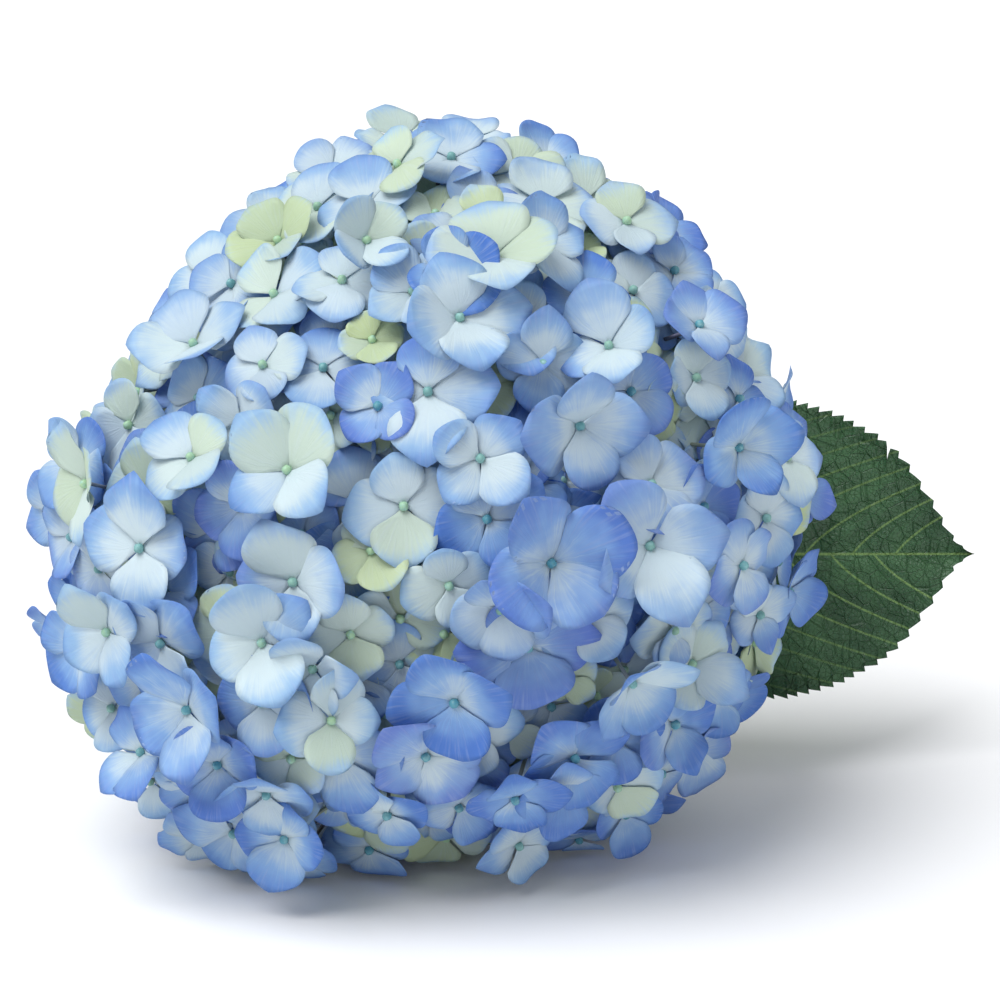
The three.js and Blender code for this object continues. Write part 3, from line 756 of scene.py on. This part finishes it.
def leaf_piece(material):
    forwards, sideways, across = leaf_grid()
    along = forwards / LEAF_LENGTH
    middle = np.sin(np.pi * np.clip(along, 0, 1))
    troughs = np.exp(-((from_veins(forwards, sideways) / 2.2) ** 2))
    rise = (LEAF_FOLD * np.abs(across) ** 1.5 + LEAF_ARCH) * middle
    waves = 2.2 * across**2 * np.sin(along * 15 + across * 1.5) * middle
    quilt = -1.1 * troughs * (1 - 0.5 * np.abs(across) ** 3)
    top = np.stack((forwards, sideways, rise + waves + quilt + 0.4), axis=-1).reshape(-1, 3)
    bottom = top - np.outer(0.35 + 0.4 * troughs.ravel(), (0, 0, 1))
    shape = Shape("stalk", "place_x", "place_y", "under")
    shape.add(
        np.concatenate((top, bottom)) + LEAF_START,
        sheet_faces(LEAF_ROWS, LEAF_COLUMNS),
        place_x=on_both_sides(forwards),
        place_y=on_both_sides(sideways),
        under=np.repeat((0.0, 1.0), len(top)),
    )
    add_petiole(shape)
    piece = shape.piece("leaf_blade", [material])
    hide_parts("leaf")


def add_petiole(shape):
    base = np.array(LEAF_START)
    node = node_centre()
    start = node + (NODE_RADIUS - 0.4, 0, 0)
    bend = start + (2 * PETIOLE_RADIUS + 0.7, 0, 0)
    middle = (bend + base) / 2
    middle[2] = lerp(bend[2], base[2], 0.35)
    under_blade = (base + (PETIOLE_RADIUS, 0, 0), base + (9, 0, 1.2))
    path = catmull_rom((start, bend, middle, *under_blade), 40)
    widen = np.exp(-np.linspace(0, 1, 40) * 12)
    radii = PETIOLE_RADIUS * (1 + 0.5 * widen) * np.linspace(1, 0.85, 40)
    radii[-8:] *= np.linspace(0.95, 0.3, 8)
    shape.add(*tube(path, radii, 14), stalk=1.0)


# ---------- materials ----------


class Nodes:
    """A material's node tree, with short calls to add and link its nodes."""

    def __init__(self, name):
        self.material = bpy.data.materials.new(name)
        self.material.use_nodes = True
        self.tree = self.material.node_tree
        self.shader = self.tree.nodes["Principled BSDF"]

    def node(self, kind, **settings):
        made = self.tree.nodes.new(kind)
        for key, value in settings.items():
            setattr(made, key, value)
        return made

    def put(self, socket, value):
        if isinstance(value, bpy.types.NodeSocket):
            self.tree.links.new(value, socket)
        else:
            socket.default_value = value

    def attribute(self, name):
        return self.node("ShaderNodeAttribute", attribute_name=name).outputs["Fac"]

    def math(self, operation, a, b=0.0, c=0.0):
        made = self.node("ShaderNodeMath", operation=operation)
        for socket, value in zip(made.inputs, (a, b, c)):
            self.put(socket, value)
        return made.outputs[0]

    def step(self, value, low, high, to_low=0.0, to_high=1.0):
        """value from low to high turned smoothly into to_low to to_high."""
        made = self.node("ShaderNodeMapRange", interpolation_type="SMOOTHSTEP")
        for socket, number in zip(made.inputs, (value, low, high, to_low, to_high)):
            self.put(socket, number)
        return made.outputs[0]

    def mix(self, share, a, b):
        made = self.node("ShaderNodeMix", data_type="RGBA")
        self.put(made.inputs[0], share)
        self.put(made.inputs[6], a)
        self.put(made.inputs[7], b)
        return made.outputs[2]

    def noise(self, scale, detail=3.0, vector=None):
        made = self.node("ShaderNodeTexNoise")
        made.inputs["Scale"].default_value = scale
        made.inputs["Detail"].default_value = detail
        self.put(made.inputs["Vector"], vector or self.node("ShaderNodeTexCoord").outputs["Object"])
        return made.outputs["Fac"]

    def bump(self, height, distance, strength=1.0):
        made = self.node("ShaderNodeBump")
        made.inputs["Distance"].default_value = distance
        made.inputs["Strength"].default_value = strength
        self.put(made.inputs["Height"], height)
        self.put(self.shader.inputs["Normal"], made.outputs[0])


def rgb(red, green, blue):
    """A display colour of 0 to 255 as the linear colour that a shader takes."""
    linear = []
    for share in (red / 255, green / 255, blue / 255):
        linear.append(share / 12.92 if share <= 0.04045 else ((share + 0.055) / 1.055) ** 2.4)
    return (*linear, 1.0)


def sepal_material():
    n = Nodes("sepal")
    along, rim, fan = n.attribute("along"), n.attribute("rim"), n.attribute("fan")
    blue, lilac, shade = n.attribute("blue"), n.attribute("lilac"), n.attribute("shade")
    # Fine streaks that fan out from the base, different on each sepal.
    spread = n.node("ShaderNodeCombineXYZ")
    n.put(spread.inputs[0], n.math("MULTIPLY", fan, 26.0))
    n.put(spread.inputs[1], n.math("MULTIPLY", along, 1.6))
    n.put(spread.inputs[2], n.math("MULTIPLY", shade, 90.0))
    streaks = n.noise(1.0, 4, spread.outputs[0])
    # Young florets are green-white all over; older ones go blue from the tip inwards.
    patches = n.math("MULTIPLY", n.math("SUBTRACT", n.noise(110, 2), 0.5), 0.75)
    reach = n.math("ADD", n.math("MULTIPLY", along, 0.75), n.math("MULTIPLY", rim, 0.25))
    ragged = n.math("MULTIPLY", n.math("SUBTRACT", streaks, 0.5), 0.45)
    reach = n.math("ADD", reach, n.math("ADD", patches, ragged))
    begins = n.math("SUBTRACT", 0.9, n.math("MULTIPLY", blue, 0.95))
    tinted = n.step(n.math("SUBTRACT", reach, begins), -0.3, 0.9)
    pale = n.mix(n.step(blue, 0.05, 0.45), rgb(212, 228, 176), rgb(222, 238, 242))
    middle = n.mix(n.step(blue, 0.1, 0.9), rgb(176, 212, 236), rgb(146, 188, 236))
    deep = n.mix(n.step(blue, 0.1, 0.95), rgb(136, 182, 232), rgb(86, 132, 214))
    color = n.mix(n.step(tinted, 0.0, 0.55), pale, middle)
    color = n.mix(n.step(tinted, 0.4, 1.0), color, deep)
    flush = n.math("MULTIPLY", lilac, n.math("MULTIPLY", tinted, 0.6))
    color = n.mix(flush, color, rgb(152, 152, 226))
    color = n.mix(n.math("MULTIPLY", n.step(streaks, 0.45, 0.8), 0.22), color, rgb(226, 238, 246))
    color = n.mix(n.math("MULTIPLY", n.attribute("under"), 0.5), color, rgb(170, 192, 220))
    shaded = n.mix(n.math("MULTIPLY", shade, 0.22), color, rgb(124, 158, 206))
    n.put(n.shader.inputs["Base Color"], shaded)
    n.shader.inputs["Roughness"].default_value = 0.6
    n.shader.inputs["Specular IOR Level"].default_value = 0.22
    n.bump(n.math("ADD", n.math("MULTIPLY", streaks, 2.2), n.noise(900, 2)), 0.00016, 0.5)
    through = n.node("ShaderNodeBsdfTranslucent")
    n.put(through.inputs["Color"], shaded)
    mixed = n.node("ShaderNodeMixShader")
    mixed.inputs[0].default_value = 0.25
    n.put(mixed.inputs[1], n.shader.outputs[0])
    n.put(mixed.inputs[2], through.outputs[0])
    n.put(n.tree.nodes["Material Output"].inputs["Surface"], mixed.outputs[0])
    return n.material


def bud_material():
    n = Nodes("bud")
    tone = n.mix(n.step(n.attribute("blue"), 0.2, 0.8), rgb(168, 204, 160), rgb(80, 148, 166))
    tone = n.mix(n.step(n.noise(700, 2), 0.4, 0.9), tone, rgb(150, 196, 196))
    n.put(n.shader.inputs["Base Color"], tone)
    n.shader.inputs["Roughness"].default_value = 0.45
    n.bump(n.noise(1500, 2), 0.0001, 0.5)
    return n.material


def pedicel_material():
    n = Nodes("pedicel")
    tone = n.mix(n.step(n.noise(60, 2), 0.35, 0.65), rgb(120, 128, 96), rgb(98, 84, 116))
    tone = n.mix(n.step(n.attribute("along"), 0.5, 1.0, 0.0, 0.5), tone, rgb(140, 160, 180))
    n.put(n.shader.inputs["Base Color"], tone)
    n.shader.inputs["Roughness"].default_value = 0.6
    n.bump(n.noise(1200, 2), 0.0001, 0.6)
    return n.material


def stem_material():
    n = Nodes("stem_skin")
    base = n.mix(n.step(n.noise(45, 4), 0.3, 0.7), rgb(116, 138, 78), rgb(88, 116, 62))
    reddened = n.math("MULTIPLY", n.step(n.noise(22, 3), 0.5, 0.72), 0.5)
    flush = n.mix(reddened, base, rgb(112, 84, 92))
    specks = n.step(n.noise(520, 2), 0.66, 0.74)
    speckled = n.mix(n.math("MULTIPLY", specks, 0.8), flush, rgb(74, 58, 58))
    n.put(n.shader.inputs["Base Color"], speckled)
    n.put(n.shader.inputs["Roughness"], n.step(n.noise(200, 2), 0.3, 0.7, 0.42, 0.62))
    n.bump(n.math("ADD", n.noise(420, 3), n.math("MULTIPLY", specks, 0.4)), 0.00025, 0.6)
    return n.material


def stem_cut_material():
    """The cut end: white pith, then pale wood, then a thin green rind."""
    n = Nodes("stem_cut")
    away = n.node("ShaderNodeVectorMath", operation="DISTANCE")
    n.put(away.inputs[0], n.node("ShaderNodeTexCoord").outputs["Object"])
    away.inputs[1].default_value = to_world(STEM_CUT_CENTRE)
    ring = n.math("ADD", away.outputs["Value"], n.math("MULTIPLY", n.noise(900, 2), 0.0006))
    tone = n.mix(n.step(ring, 0.0014, 0.0022), rgb(226, 226, 204), rgb(176, 190, 128))
    tone = n.mix(n.step(ring, 0.0038, 0.0046), tone, rgb(98, 118, 66))
    n.put(n.shader.inputs["Base Color"], tone)
    n.shader.inputs["Roughness"].default_value = 0.55
    n.bump(n.noise(1800, 2), 0.0002, 0.6)
    return n.material


def leaf_veins(n, x, y):
    """1 on the midrib and the lateral veins, 0 away from them; x and y are places in mm."""
    out = n.math("ABSOLUTE", y)
    bend = n.math("MULTIPLY", out, n.math("MULTIPLY_ADD", out, VEIN_CURVE, VEIN_SWEEP))
    forwards = n.math("SUBTRACT", x, bend)
    shift = n.math("MULTIPLY", n.math("SIGN", y), VEIN_SHIFT * LEAF_LENGTH)
    forwards = n.math("SUBTRACT", forwards, shift)
    nearest = 100.0
    for start in LATERAL_VEINS:
        away = n.math("ABSOLUTE", n.math("SUBTRACT", forwards, start * LEAF_LENGTH))
        nearest = n.math("MINIMUM", nearest, away)
    slope = n.math("MULTIPLY_ADD", out, 2 * VEIN_CURVE, VEIN_SWEEP)
    steepness = n.math("SQRT", n.math("MULTIPLY_ADD", slope, slope, 1.0))
    nearest = n.math("DIVIDE", nearest, steepness)
    fading = n.step(out, 8.0, 38.0, 0.9, 0.35)
    lateral = n.math("MULTIPLY", n.step(nearest, 0.12, 0.42, 1.0, 0.0), fading)
    from_midrib = n.math("MULTIPLY", out, n.step(x, 0.0, LEAF_LENGTH, 0.7, 1.8))
    return n.math("MAXIMUM", lateral, n.step(from_midrib, 0.3, 0.75, 1.0, 0.0))


def leaf_material():
    n = Nodes("leaf_skin")
    x, y, stalk = n.attribute("place_x"), n.attribute("place_y"), n.attribute("stalk")
    place = n.node("ShaderNodeCombineXYZ")
    n.put(place.inputs[0], n.math("MULTIPLY", x, MM))
    n.put(place.inputs[1], n.math("MULTIPLY", y, MM))
    net = vein_net(n, place.outputs[0], 250, 0.06)
    fine = vein_net(n, place.outputs[0], 800, 0.06)
    on_blade = n.math("SUBTRACT", leaf_veins(n, x, y), stalk)
    vein = n.math("MAXIMUM", n.math("MULTIPLY", stalk, 0.8), on_blade)
    base = n.mix(n.step(n.noise(60, 4), 0.32, 0.68), rgb(38, 74, 44), rgb(62, 102, 64))
    base = n.mix(n.math("MULTIPLY", net, 0.22), base, rgb(30, 62, 34))
    base = n.mix(n.math("MULTIPLY", fine, 0.12), base, rgb(84, 116, 72))
    base = n.mix(n.math("MULTIPLY", vein, 0.75), base, rgb(126, 158, 88))
    base = n.mix(n.math("MULTIPLY", n.attribute("under"), 0.6), base, rgb(132, 158, 116))
    n.put(n.shader.inputs["Base Color"], base)
    n.put(n.shader.inputs["Roughness"], n.step(n.noise(120, 2), 0.3, 0.7, 0.36, 0.48))
    height = n.math("SUBTRACT", n.noise(1400, 2), n.math("ADD", n.math("MULTIPLY", net, 1.5), fine))
    n.bump(height, 0.0004, 0.7)
    return n.material


def vein_net(n, place, scale, width):
    """1 on the lines of a net of veins, 0 in its cells."""
    cells = n.node("ShaderNodeTexVoronoi", feature="DISTANCE_TO_EDGE")
    cells.inputs["Scale"].default_value = scale
    n.put(cells.inputs["Vector"], place)
    return n.step(cells.outputs["Distance"], 0.0, width, 1.0, 0.0)


# ---------- stage ----------

PHOTO_WIDTH = 261.0  # mm across the picture at the head's widest section
CAMERA_DISTANCE = 1000.0
HEAD_LEFT_OF_MIDDLE = 18.3
HEAD_BELOW_MIDDLE = 1.5


def add_stage():
    bpy.ops.mesh.primitive_plane_add(size=30, location=(0, 0, 0))
    floor = bpy.context.object
    floor.name = "floor"
    n = Nodes("floor_card")
    pale = n.mix(n.noise(3, 2), rgb(243, 243, 244), rgb(247, 247, 248))
    n.put(n.shader.inputs["Base Color"], pale)
    n.shader.inputs["Roughness"].default_value = 0.9
    n.shader.inputs["Specular IOR Level"].default_value = 0.1
    floor.data.materials.append(n.material)


def add_sun(name, towards, strength, softness):
    lamp = bpy.data.lights.new(name, "SUN")
    lamp.energy = strength
    lamp.angle = math.radians(softness)
    made = bpy.data.objects.new(name, lamp)
    made.rotation_euler = Vector(towards).to_track_quat("-Z", "Y").to_euler()
    bpy.context.scene.collection.objects.link(made)


def add_lights():
    add_sun("key", (0.42, 0.3, -1.0), 2.7, 45)
    world = bpy.data.worlds.new("studio")
    world.use_nodes = True
    world.node_tree.nodes["Background"].inputs[0].default_value = (0.95, 0.97, 1.0, 1.0)
    world.node_tree.nodes["Background"].inputs[1].default_value = 0.55
    bpy.context.scene.world = world


def add_camera():
    camera = bpy.data.cameras.new("camera")
    camera.lens = camera.sensor_width * CAMERA_DISTANCE / PHOTO_WIDTH
    made = bpy.data.objects.new("camera", camera)
    aim = to_world(np.array((HEAD_LEFT_OF_MIDDLE, HEAD_BELOW_MIDDLE, 0)))
    made.location = to_world(np.array((HEAD_LEFT_OF_MIDDLE, HEAD_BELOW_MIDDLE, CAMERA_DISTANCE)))
    made.rotation_euler = (Vector(aim) - made.location).to_track_quat("-Z", "Y").to_euler()
    bpy.context.scene.collection.objects.link(made)
    bpy.context.scene.camera = made
    bpy.context.scene.view_settings.view_transform = "Standard"


def main():
    clusters = all_clusters()
    floret_materials = [sepal_material(), bud_material(), pedicel_material()]
    for index, cluster in enumerate(clusters):
        cluster_piece(index, cluster, floret_materials)
    stem_piece(clusters, [stem_material(), stem_cut_material()])
    leaf_piece(leaf_material())
    add_stage()
    add_lights()
    add_camera()


main()
